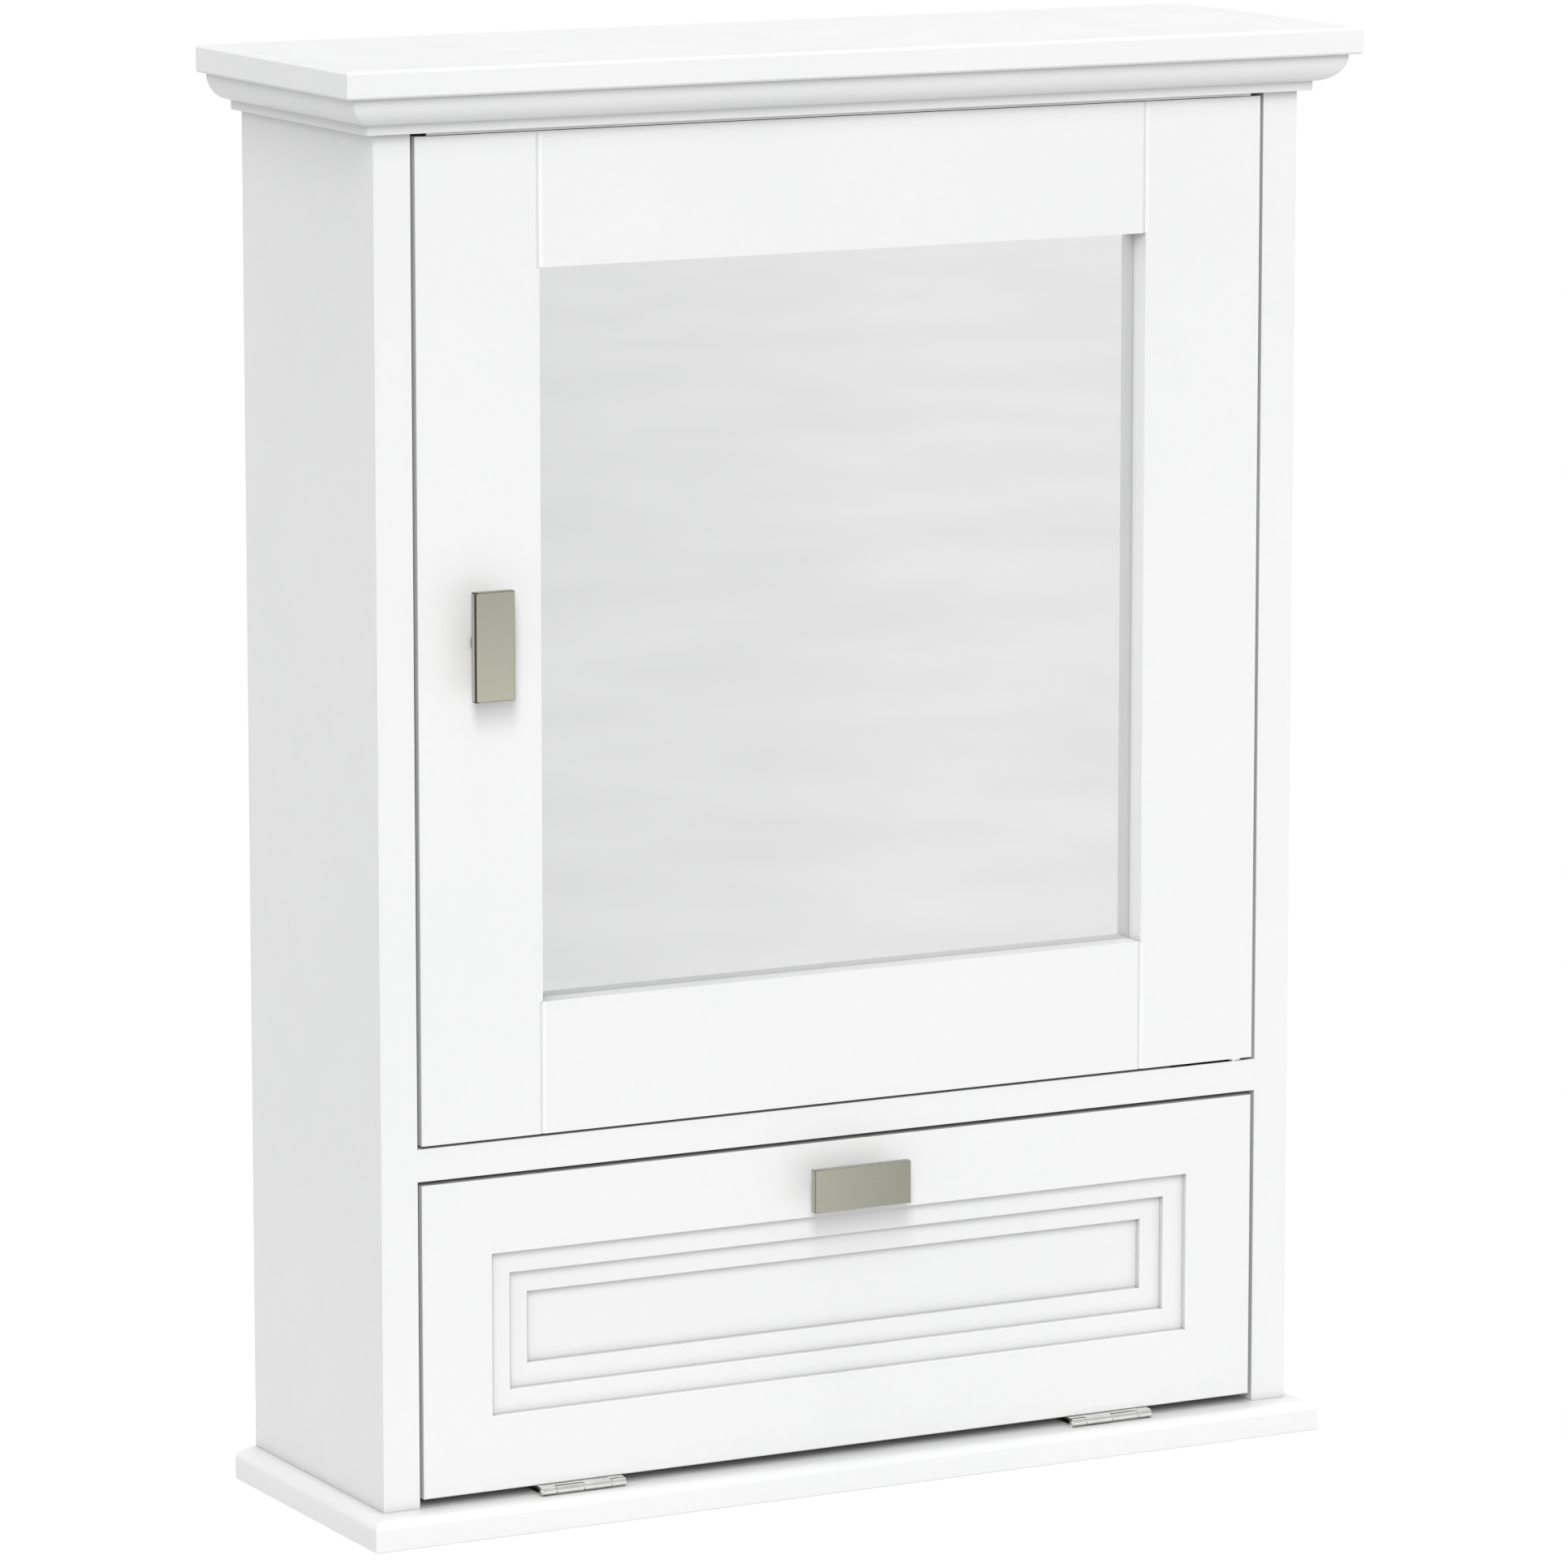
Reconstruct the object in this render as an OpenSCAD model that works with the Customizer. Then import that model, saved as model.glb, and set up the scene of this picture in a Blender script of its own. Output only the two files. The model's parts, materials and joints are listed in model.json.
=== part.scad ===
// Hanging wall cabinet: a mirrored inset door above a drop-down flap, under a moulded crown.
// The origin is midway between the two hanging holes, on the wall plane. +Z is up, +X is the
// right-hand side seen from the front, and the front faces -Y. Heights are counted from the
// top face of the base board and turned into the object's frame by z_of().

/* [Carcass] */
// Outside width over the two side panels
carcass_w = 474; // [440:1:520]
// Depth from the wall to the front edges of the side panels
carcass_d = 141; // [136:1:180]
// Height from the base board to the top board
carcass_h = 642.2; // [636:0.2:680]
// Thickness of the side panels and the top panel
panel_t = 18; // [16:1:19]
// Thickness of the fixed panel between the door and the flap
divider_t = 15; // [15:0.5:16]
// Height of the underside of that panel above the base board
divider_h = 151.3; // [148:0.1:156]
// Thickness of the back panel
back_t = 3; // [3:0.5:4]
// Width of the rebate that the back panel sits in
back_rebate = 9; // [7:1:10]

/* [Top board and crown] */
// Thickness of the top board
top_t = 12.5; // [10:0.5:18]
// Overhang of the top board at the front and at each side
top_overhang = 22.5; // [20:0.5:28]
// Bevel along the top board's edges
top_bevel = 1; // [0.5:0.1:2]
// Height of the crown moulding under the top board
crown_h = 17.5; // [14:0.1:18]
// Height of the square fillet at the foot of the crown
crown_fillet_h = 4.5; // [2:0.1:5]
// Projection of the fillet
crown_fillet_p = 5.4; // [3:0.1:6]
// Run of the quarter round above the fillet
crown_round_p = 12.2; // [8:0.1:14]
// How far the lip behind the fillet hangs over the gap above the door
crown_lip_h = 1.4; // [0.6:0.1:1.4]
// Thickness of that lip
crown_lip_t = 1.5; // [1.2:0.1:2]
// Distance from each end of the lip to the side panel beside it
crown_lip_end = 7.5; // [5:0.5:10]

/* [Base board] */
// Thickness of the base board
base_t = 14.5; // [13:0.5:18]
// Overhang of the base board at the front
base_front = 14; // [13:0.5:18]
// Overhang of the base board at each side
base_side = 10.5; // [8:0.5:16]
// Height of the rounded upper edge
base_round_h = 4.6; // [2:0.1:6]
// Depth of the rounded upper edge
base_round_w = 9.5; // [4:0.5:12]

/* [Door] */
// Thickness of the door and the flap
front_t = 18; // [18:0.5:19]
// How far the door and the flap stand proud of the side panels
front_proud = 0.5; // [0:0.5:2]
// Gap between the door or the flap and each side panel
side_gap = 2; // [1.5:0.1:3]
// Gap above and below the door
door_gap = 1.3; // [1.2:0.1:2]
// Width of the door's stiles and rails
frame_w = 61; // [56:1:70]
// Half the width of the V groove between a stile and a rail
groove_w = 1.6; // [1:0.1:2]
// Depth of that groove
groove_d = 0.7; // [0.5:0.1:1.5]
// Thickness of the mirror glass
mirror_t = 4; // [3:0.5:4]
// Thickness of the board behind the mirror
backing_t = 3; // [3:0.5:3]
// Width of the rebate that the mirror sits in
mirror_rebate = 8; // [6:0.5:9]

/* [Flap] */
// Gap between the flap and the base board, which holds the folded hinge leaves
flap_gap = 4; // [4:0.1:5]
// Gap between the flap and the fixed panel above it
flap_top_gap = 2; // [1.5:0.1:3]
// Width of the border around the flap's stepped recess
recess_margin = 35; // [30:1:38]
// Width of each step in the recess
step_w = 10.5; // [6:0.5:12]
// Depth of each step in the recess
step_d = 3.6; // [2:0.1:4]
// Width of the flap's chamfered edges
flap_arris = 0.4; // [0.2:0.1:0.5]

/* [Pulls] */
// Long side of the pull's plate
pull_l = 50; // [40:1:64]
// Short side of the pull's plate
pull_w = 20; // [16:1:24]
// Thickness of the pull's plate
pull_t = 4; // [3:0.5:5]
// Projection of the pull from the face that it is fixed to
pull_out = 16; // [14:0.5:25]
// Diameter of the pull's stem
stem_d = 8; // [7:0.5:10]
// Distance from the flap's top edge down to the middle of its pull
flap_pull_drop = 19.3; // [17:0.1:24]

/* [Flap hinges] */
// Length of a butt hinge
hinge_l = 43; // [36:1:50]
// Distance from the flap's end to the middle of a hinge
hinge_inset = 78; // [60:1:110]
// Outside diameter of the barrel
barrel_d = 3.6; // [3.4:0.1:3.8]
// Distance from the flap's face forward to the hinge axis
barrel_out = 4.5; // [4:0.1:5]
// Thickness of a hinge leaf
leaf_t = 1; // [0.8:0.1:1]
// Diameter of the hinge pin
hinge_pin_d = 2; // [1.6:0.1:2]

/* [Door pivots] */
// Distance from the door's right edge to the pivot
pivot_in = 7; // [6:0.5:8]
// Distance from the door's face back to the pivot
pivot_back = 5; // [4.5:0.5:5]
// Diameter of the pivot pins
pivot_d = 5; // [4:0.5:5]
// Length of the pivot plates
pivot_plate_l = 40; // [36:1:50]
// Width of the pivot plates
pivot_plate_w = 11; // [10:0.5:12]
// Thickness of the pivot plates
pivot_plate_t = 2; // [1.5:0.1:2.5]

/* [Shelves] */
// Thickness of the two loose shelves
shelf_t = 15; // [12:1:18]
// Distance between the holes for the shelf pins
pin_pitch = 32; // [32:1:32]
// Diameter of the shelf pins
pin_d = 5; // [4:0.5:6]
// Pin hole, counted from the lowest, that carries the lower shelf
lower_shelf_hole = 2; // [1:1:3]
// Pin hole, counted from the lowest, that carries the upper shelf
upper_shelf_hole = 7; // [5:1:8]

/* [Hanging] */
// Height of the hanging rail
rail_h = 60; // [50:1:80]
// Thickness of the hanging rail
rail_t = 18; // [15:1:18]
// Distance between the two hanging holes
hang_spacing = 320; // [200:10:360]
// Diameter of the hanging holes
hang_d = 6; // [5:0.5:8]

/* [Hidden] */

$fn = 64;
// Overlap that keeps cuts clean
eps = 0.01;
// Radial clearance of a fixed fastener in its hole
fit = 0.05;
// Radial clearance of a turning pin in its bore
run = 0.06;

lacquer = "white";
nickel = "silver";
champagne = "#a9a898";
bare_wood = "burlywood";
board_brown = "peru";
plastic = "gainsboro";
magnet_grey = "dimgray";

// Main planes, counted from the middle of the cabinet, from the wall and from the base board
outer_x = carcass_w / 2;
inner_x = outer_x - panel_t;
front_y = -carcass_d;
face_y = front_y - front_proud;
rear_of_door_y = face_y + front_t;
top_under_h = carcass_h - panel_t;
divider_top_h = divider_h + divider_t;
hang_h = top_under_h - rail_h / 2;
function z_of(h) = h - hang_h;

// Door and flap
front_x = inner_x - side_gap;
door_low_h = divider_top_h + door_gap;
door_high_h = top_under_h - door_gap;
door_mid_h = (door_low_h + door_high_h) / 2;
opening_x = front_x - frame_w;
opening_low_h = door_low_h + frame_w;
opening_high_h = door_high_h - frame_w;
rebate_y = rear_of_door_y - mirror_t - backing_t;
glass_play = 1;
flap_low_h = flap_gap;
flap_high_h = divider_h - flap_top_gap;
flap_pull_h = flap_high_h - flap_pull_drop;
door_pull_x = -front_x + frame_w / 2;

// Crown and edge curves
crown_foot_h = carcass_h - crown_h;
curve_steps = 12;

// Butt hinges: knuckles alternate between the base leaf and the flap leaf
axis_h = flap_gap / 2;
axis_y = face_y - barrel_out;
barrel_r = barrel_d / 2;
leaf_back_y = axis_y + 17.5;
knuckle_ends = [0, hinge_l * 0.175, hinge_l * 0.5, hinge_l * 0.825, hinge_l];
knuckle_gap = 0.3;
hinge_x = front_x - hinge_inset;
leaf_screw_x = 14;
leaf_screw_y = axis_y + 12.5;

// Door pivots
pivot_x = front_x - pivot_in;
pivot_y = face_y + pivot_back;
plate_right_x = pivot_x + 4;
plate_front_y = pivot_y - 3.5;
plate_screw_x = [pivot_x - 12, pivot_x - 29];
plate_screw_y = plate_front_y + pivot_plate_w / 2;
pin_in_door = 8;
washer_r = 3.8;
washer_play = 0.1;

// Shelves
pin_columns_y = [-92, -30];
first_pin_h = 246;
pin_holes = 11;
pin_hole_depth = 10;
pin_out = 8;
pin_r = pin_d / 2;
shelf_front_y = rear_of_door_y + 5;
shelf_play = 1;
function pin_h(k) = first_pin_h + k * pin_pitch;

// Fasteners: [shank diameter, length, head diameter]
wood_screw = [3, 14, 6];
short_screw = [3, 10, 6];
thin_screw = [2.5, 10, 5];
base_screw = [5, 50, 9];
top_screw = [4, 26, 8];
leaf_screw = [2.4, 10, 4.4];
nail_r = 0.6;
nail_head_r = 1.4;
nail_l = 16;
dowel_d = 8;
dowel_l = 30;
door_dowel_l = 40;
dowel_in_side = 10;
dowel_bevel = 0.8;
dowel_spread = 15;
dowel_rows_y = [-106, -35];
pull_screw_d = 4;
pull_screw_head_d = 8;
pull_screw_head_h = 2.2;
pull_thread = 9;

// Magnetic catches and their strike plates
catch_l = 44;
catch_body_l = 26;
catch_deep = 20;
catch_t = 12;
catch_ear_t = 4;
catch_ear_y = 8;
catch_screw_x = 17;
catch_screw_y = 14;
strike_t = 1.2;
strike_l = 30;
strike_w = 11;
strike_screw_x = 11;
catch_play = 0.2;
catch_y = rear_of_door_y + strike_t + catch_play;
door_catch_h = 545;
magnet_l = 22;
magnet_t = 6;
magnet_deep = 12;
pole_out = 0.1;

// Mirror clips
clip_w = 12;
clip_t = 1.2;
clip_reach = 12;
clip_edge = mirror_rebate + 7;

// ---------------------------------------------------------------- shared shapes

// A box from its two corners
module block(a, b) {
    translate([min(a[0], b[0]), min(a[1], b[1]), min(a[2], b[2])])
        cube([abs(b[0] - a[0]), abs(b[1] - a[1]), abs(b[2] - a[2])]);
}

// A countersunk screw with its head's face at the origin, pointing down
module screw(s) {
    r = s[0] / 2;
    head_r = s[2] / 2;
    difference() {
        rotate_extrude()
            polygon([[0, 0], [head_r, 0], [r, r - head_r], [r, 2 * r - s[1]], [r / 4, -s[1]], [0, -s[1]]]);
        cross_recess(head_r);
    }
}

// The hole that a countersunk screw sits in
module screw_hole(s) {
    r = s[0] / 2 + fit;
    head_r = s[2] / 2 + fit;
    rotate_extrude()
        polygon([[0, 1], [head_r, 1], [head_r, 0], [r, r - head_r], [r, -s[1] - 0.5], [0, -s[1] - 0.5]]);
}

// The cross in the head of a screw
module cross_recess(head_r) {
    slot = head_r * 0.28;
    reach = head_r * 1.1;
    for (turn = [0, 90])
        rotate([0, 0, turn])
            block([-reach / 2, -slot / 2, -head_r * 0.35], [reach / 2, slot / 2, 1]);
}

// A machine screw with a domed head, its shank pointing down from the origin
module machine_screw(d, length, head_d, head_h) {
    difference() {
        rotate_extrude()
            polygon(concat(
                [[0, -length], [d / 2 - 0.4, -length], [d / 2, 0.4 - length], [d / 2, 0]],
                [for (k = [0 : curve_steps])
                    let (t = 90 * k / curve_steps)
                    [head_d / 2 * cos(t) ^ 0.5, head_h * sin(t)]]));
        translate([0, 0, head_h])
            cross_recess(head_d / 2);
    }
}

// A bevelled wooden dowel centred on the origin, along X
module dowel(length) {
    r = dowel_d / 2;
    rotate([0, 90, 0])
        rotate_extrude()
            polygon([
                [0, -length / 2], [r - dowel_bevel, -length / 2], [r, dowel_bevel - length / 2],
                [r, length / 2 - dowel_bevel], [r - dowel_bevel, length / 2], [0, length / 2],
            ]);
}

// The hole for that dowel, a little longer at both ends
module dowel_hole(length) {
    rotate([0, 90, 0])
        cylinder(r = dowel_d / 2 + fit, h = length + 1, center = true);
}

// The children on the right, and their mirror image on the left
module both_sides() {
    children();
    mirror([1, 0, 0]) children();
}

// ---------------------------------------------------------------- carcass

// Middle of each dowel between a side panel and the part that meets it
module at_carcass_dowels() {
    x = inner_x + dowel_in_side - dowel_l / 2;
    for (y = dowel_rows_y, h = [carcass_h - panel_t / 2, divider_h + divider_t / 2])
        translate([x, y, z_of(h)])
            children();
    for (up = [-dowel_spread, dowel_spread])
        translate([x, -back_t - rail_t / 2, z_of(hang_h + up)])
            children();
}

// Middle of the upright dowel between a side panel and the base board
module at_base_dowel() {
    translate([outer_x - panel_t / 2, -carcass_d / 2, z_of(dowel_l / 2 - dowel_in_side)])
        rotate([0, 90, 0])
            children();
}

// Each screw that rises through the base board into a side panel
module at_base_screws() {
    for (y = [-111, -30])
        translate([outer_x - panel_t / 2, y, z_of(-base_t)])
            rotate([180, 0, 0])
                children();
}

// Each screw that rises through the top panel into the top board
module at_top_screws() {
    for (x = [-150, 150], y = [-110, -40])
        translate([x, y, z_of(top_under_h)])
            rotate([180, 0, 0])
                children();
}

module side_panel() {
    difference() {
        block([inner_x, front_y, z_of(0)], [outer_x, 0, z_of(carcass_h)]);
        block(
            [inner_x - 1, -back_t, z_of(-1)],
            [inner_x + back_rebate, 1, z_of(top_under_h + back_rebate)]);
        at_carcass_dowels() dowel_hole(dowel_l);
        at_base_dowel() dowel_hole(dowel_l);
        at_base_screws() screw_hole(base_screw);
        for (y = pin_columns_y, k = [0 : pin_holes - 1])
            translate([inner_x - 1, y, z_of(pin_h(k))])
                rotate([0, 90, 0])
                    cylinder(r = pin_r + fit, h = pin_hole_depth + 1);
        back_nail_holes();
    }
}

module left_side_panel() {
    color(lacquer)
        difference() {
            mirror([1, 0, 0]) side_panel();
            at_door_catch() at_catch_screws() screw_hole(wood_screw);
        }
}

module right_side_panel() {
    color(lacquer) side_panel();
}

module top_panel() {
    color(lacquer)
        difference() {
            block([-inner_x, front_y, z_of(top_under_h)], [inner_x, 0, z_of(carcass_h)]);
            block(
                [-inner_x - 1, -back_t, z_of(top_under_h - 1)],
                [inner_x + 1, 1, z_of(top_under_h + back_rebate)]);
            both_sides() at_carcass_dowels() dowel_hole(dowel_l);
            at_top_screws() screw_hole(top_screw);
            pivot_recess(top_under_h, 1);
            at_plate_screws(top_under_h, 1) screw_hole(wood_screw);
            back_nail_holes();
        }
}

module divider_panel() {
    color(lacquer)
        difference() {
            block([-inner_x, front_y, z_of(divider_h)], [inner_x, -back_t, z_of(divider_top_h)]);
            both_sides() at_carcass_dowels() dowel_hole(dowel_l);
            pivot_recess(divider_top_h, -1);
            at_plate_screws(divider_top_h, -1) screw_hole(short_screw);
            at_flap_catch() at_catch_screws() screw_hole(short_screw);
            back_nail_holes();
        }
}

module back_panel() {
    edge = inner_x + back_rebate - 0.5;
    color(lacquer)
        difference() {
            block([-edge, -back_t, z_of(0)], [edge, 0, z_of(top_under_h + back_rebate - 0.5)]);
            hang_holes();
            back_nail_holes();
        }
}

// The nails that hold the back panel, by place: up both sides, along the top and the divider
module at_back_nails() {
    side_x = inner_x + back_rebate / 2;
    for (x = [-side_x, side_x], k = [0 : 6])
        translate([x, 0, z_of(30 + k * 95)])
            children();
    for (x = [-140 : 70 : 140], h = [top_under_h + back_rebate / 2, divider_h + divider_t / 2])
        translate([x, 0, z_of(h)])
            children();
}

// A nail with its head's face at the origin, driven along -Y
module nail() {
    rotate([-90, 0, 0])
        rotate_extrude()
            polygon([
                [0, 0], [nail_head_r, 0], [nail_r, nail_r - nail_head_r],
                [nail_r, 2 * nail_r - nail_l], [0, -nail_l],
            ]);
}

// The hole that a nail makes
module nail_hole() {
    head_r = nail_head_r + fit;
    r = nail_r + fit;
    rotate([-90, 0, 0])
        rotate_extrude()
            polygon([
                [0, 1], [head_r, 1], [head_r, 0],
                [r, r - head_r], [r, -nail_l - fit], [0, -nail_l - fit],
            ]);
}

module back_panel_nails() {
    color(nickel)
        at_back_nails() nail();
}

module back_nail_holes() {
    at_back_nails() nail_hole();
}

module hang_holes() {
    for (x = [-hang_spacing / 2, hang_spacing / 2])
        translate([x, 1, 0])
            rotate([90, 0, 0])
                cylinder(d = hang_d, h = back_t + rail_t + 2);
}

module hanging_rail() {
    color(lacquer)
        difference() {
            block(
                [-inner_x, -back_t - rail_t, z_of(top_under_h - rail_h)],
                [inner_x, -back_t, z_of(top_under_h)]);
            both_sides() at_carcass_dowels() dowel_hole(dowel_l);
            hang_holes();
        }
}

module carcass_dowels() {
    color(bare_wood)
        both_sides() {
            at_carcass_dowels() dowel(dowel_l);
            at_base_dowel() dowel(dowel_l);
        }
}

// ---------------------------------------------------------------- top board, crown, base board

// A board whose outline of [projection, height] points runs round the front and both sides.
// The outline is closed by the wall side, and its corners are mitred by the intersection.
module moulded_board(outline, half_w, depth) {
    low = min([for (p = outline) p[1]]);
    high = max([for (p = outline) p[1]]);
    intersection() {
        translate([half_w + 50, 0, 0])
            rotate([90, 0, -90])
                linear_extrude(height = 2 * half_w + 100)
                    polygon(concat([[0, low], [0, high]], [for (p = outline) [depth + p[0], p[1]]]));
        translate([0, 50, 0])
            rotate([90, 0, 0])
                linear_extrude(height = depth + 150)
                    polygon(concat(
                        [for (p = outline) [half_w + p[0], p[1]]],
                        [for (k = [len(outline) - 1 : -1 : 0]) [-half_w - outline[k][0], outline[k][1]]]));
    }
}

module top_board() {
    low = z_of(carcass_h);
    high = low + top_t;
    color(lacquer)
        difference() {
            moulded_board(
                [[-top_bevel, high], [0, high - top_bevel], [0, low + top_bevel], [-top_bevel, low]],
                outer_x + top_overhang, carcass_d + top_overhang);
            at_top_screws() screw_hole(top_screw);
        }
}

module top_board_screws() {
    color(nickel)
        at_top_screws() screw(top_screw);
}

module base_board() {
    low = z_of(-base_t);
    color(lacquer)
        difference() {
            moulded_board(
                concat(
                    [for (k = [0 : curve_steps])
                        let (t = 90 * k / curve_steps)
                        [base_round_w * (sin(t) - 1), z_of(-base_round_h * (1 - cos(t)))]],
                    [[0, low + 0.5], [-0.5, low]]),
                outer_x + base_side, carcass_d + base_front);
            both_sides() {
                at_base_dowel() dowel_hole(dowel_l);
                at_base_screws() screw_hole(base_screw);
            }
            at_base_leaf_screws() screw_hole(leaf_screw);
        }
}

module base_screws() {
    color(nickel)
        both_sides() at_base_screws() screw(base_screw);
}

// Section of the crown, as [projection, height]: a square fillet under a quarter round
crown_points = concat(
    [[0, z_of(carcass_h)], [0, z_of(crown_foot_h)], [crown_fillet_p, z_of(crown_foot_h)]],
    [for (k = [0 : curve_steps])
        let (t = 90 * k / curve_steps)
        [crown_fillet_p + crown_round_p * sin(t),
         z_of(carcass_h) - (crown_h - crown_fillet_h) * cos(t)]]);

// Space kept by the front piece of the crown, up to the mitres
module mitre_wedge() {
    reach = 60;
    translate([0, 0, z_of(crown_foot_h) - 1])
        linear_extrude(height = crown_h + 2)
            polygon([
                [-outer_x, front_y], [outer_x, front_y],
                [outer_x + reach, front_y - reach], [-outer_x - reach, front_y - reach],
            ]);
}

module crown_front() {
    lip_x = inner_x - crown_lip_end;
    color(lacquer) {
        intersection() {
            translate([outer_x + 40, front_y, 0])
                rotate([90, 0, -90])
                    linear_extrude(height = carcass_w + 80)
                        polygon(crown_points);
            mitre_wedge();
        }
        block(
            [-lip_x, front_y - crown_lip_t, z_of(crown_foot_h - crown_lip_h)],
            [lip_x, front_y, z_of(crown_foot_h + 1)]);
    }
}

module crown_right() {
    color(lacquer)
        difference() {
            translate([outer_x, 0, 0])
                rotate([90, 0, 0])
                    linear_extrude(height = carcass_d + 40)
                        polygon(crown_points);
            mitre_wedge();
        }
}

module crown_left() {
    mirror([1, 0, 0]) crown_right();
}

// ---------------------------------------------------------------- shelves

module shelf(hole) {
    low = pin_h(hole) + pin_r;
    edge = inner_x - shelf_play;
    color(lacquer)
        block([-edge, shelf_front_y, z_of(low)], [edge, -back_t - shelf_play, z_of(low + shelf_t)]);
}

module upper_shelf() {
    shelf(upper_shelf_hole);
}

module lower_shelf() {
    shelf(lower_shelf_hole);
}

module shelf_pins() {
    color(nickel)
        both_sides()
            for (y = pin_columns_y, k = [lower_shelf_hole, upper_shelf_hole])
                translate([inner_x - pin_out, y, z_of(pin_h(k))])
                    rotate([0, 90, 0])
                        rotate_extrude()
                            polygon([
                                [0, 0], [pin_r - 0.5, 0], [pin_r, 0.5], [pin_r, pin_out],
                                [pin_r, pin_out + pin_hole_depth - 1],
                                [pin_r - 0.5, pin_out + pin_hole_depth - 0.5],
                                [0, pin_out + pin_hole_depth - 0.5],
                            ]);
}

// ---------------------------------------------------------------- door

// Middle of each dowel between the stiles and the rails
module at_door_dowels() {
    for (x = [-opening_x, opening_x], h = [door_low_h, opening_high_h], up = [-dowel_spread, dowel_spread])
        translate([x, face_y + front_t / 2, z_of(h + frame_w / 2 + up)])
            children();
}

// V grooves along the four joints between the stiles and the rails
module joint_grooves() {
    for (x = [-opening_x, opening_x],
         span = [[door_low_h - 1, opening_low_h], [opening_high_h, door_high_h + 1]])
        translate([x, face_y, z_of(span[0])])
            linear_extrude(height = span[1] - span[0])
                polygon([[-groove_w, -eps], [groove_w, -eps], [0, groove_d]]);
}

// The rebate for the mirror and its backing, cut from behind
module mirror_rebate_cut() {
    block(
        [-opening_x - mirror_rebate, rebate_y, z_of(opening_low_h - mirror_rebate)],
        [opening_x + mirror_rebate, rear_of_door_y + 1, z_of(opening_high_h + mirror_rebate)]);
}

// One member of the door's frame, from its own low and high corner
module door_member(x1, h1, x2, h2) {
    color(lacquer)
        difference() {
            block([x1, face_y, z_of(h1)], [x2, rear_of_door_y, z_of(h2)]);
            mirror_rebate_cut();
            joint_grooves();
            at_door_dowels() dowel_hole(door_dowel_l);
            at_clips() screw_hole(thin_screw);
            children();
        }
}

module door_left_stile() {
    door_member(-front_x, door_low_h, -opening_x, door_high_h) {
        translate([door_pull_x, face_y - 1, z_of(door_mid_h)])
            rotate([-90, 0, 0])
                cylinder(r = pull_screw_d / 2 + fit, h = front_t + 2);
        at_door_strike() at_strike_screws() screw_hole(thin_screw);
    }
}

module door_right_stile() {
    door_member(opening_x, door_low_h, front_x, door_high_h) {
        pivot_recess(door_high_h, -1);
        pivot_recess(door_low_h, 1);
        at_plate_screws(door_high_h, -1) screw_hole(wood_screw);
        at_plate_screws(door_low_h, 1) screw_hole(wood_screw);
        for (h = [door_low_h - 1, door_high_h - pin_in_door - 1])
            translate([pivot_x, pivot_y, z_of(h)])
                cylinder(r = pivot_d / 2 + 0.6, h = pin_in_door + 2);
    }
}

module door_top_rail() {
    door_member(-opening_x, opening_high_h, opening_x, door_high_h);
}

module door_bottom_rail() {
    door_member(-opening_x, door_low_h, opening_x, opening_low_h);
}

module door_dowels() {
    color(bare_wood)
        at_door_dowels() dowel(door_dowel_l);
}

// A sheet in the mirror's rebate, between two depths
module rebate_sheet(y1, y2) {
    reach = mirror_rebate - glass_play;
    block(
        [-opening_x - reach, y1, z_of(opening_low_h - reach)],
        [opening_x + reach, y2, z_of(opening_high_h + reach)]);
}

module mirror_glass() {
    color("lightsteelblue") rebate_sheet(rebate_y, rebate_y + mirror_t);
}

module mirror_backing() {
    color(board_brown) rebate_sheet(rebate_y + mirror_t, rear_of_door_y);
}

// Each clip on the back of the door, with its screw at the origin and its tongue towards +X
module at_clips() {
    y = rear_of_door_y + clip_t;
    for (x = [-opening_x + 50, 0, opening_x - 50]) {
        translate([x, y, z_of(opening_high_h + clip_edge)])
            rotate([-90, 90, 0]) children();
        translate([x, y, z_of(opening_low_h - clip_edge)])
            rotate([-90, -90, 0]) children();
    }
    for (h = [opening_low_h + 60, opening_high_h - 60]) {
        translate([opening_x + clip_edge, y, z_of(h)])
            rotate([-90, 180, 0]) children();
        translate([-opening_x - clip_edge, y, z_of(h)])
            rotate([-90, 0, 0]) children();
    }
}

module mirror_clips() {
    color(plastic)
        at_clips()
            difference() {
                translate([0, 0, -clip_t])
                    linear_extrude(height = clip_t)
                        union() {
                            circle(d = clip_w);
                            translate([0, -clip_w / 2]) square([clip_reach, clip_w]);
                        }
                screw_hole(thin_screw);
            }
}

module mirror_clip_screws() {
    color(nickel)
        at_clips() screw(thin_screw);
}

// ---------------------------------------------------------------- pulls

// A square-edged plate on a flared stem, its foot at the origin and standing along -Y
module pull(width, height) {
    plate_y = -pull_out;
    stem_l = pull_out - pull_t;
    color(champagne)
        difference() {
            union() {
                block([-width / 2, plate_y, -height / 2], [width / 2, plate_y + pull_t, height / 2]);
                rotate([90, 0, 0])
                    rotate_extrude()
                        polygon([
                            [0, 0], [stem_d / 2 + 0.8, 0], [stem_d / 2 + 0.8, 1.2], [stem_d / 2, 2.6],
                            [stem_d / 2, stem_l + pull_t / 2], [0, stem_l + pull_t / 2],
                        ]);
            }
            rotate([90, 0, 0])
                translate([0, 0, -1])
                    cylinder(r = pull_screw_d / 2 + fit, h = pull_thread + 1.5);
        }
}

module door_pull() {
    translate([door_pull_x, face_y, z_of(door_mid_h)])
        pull(pull_w, pull_l);
}

module flap_pull() {
    translate([0, face_y, z_of(flap_pull_h)])
        pull(pull_l, pull_w);
}

module pull_screw() {
    color(nickel)
        rotate([-90, 0, 0])
            machine_screw(pull_screw_d, front_t + pull_thread, pull_screw_head_d, pull_screw_head_h);
}

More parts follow.
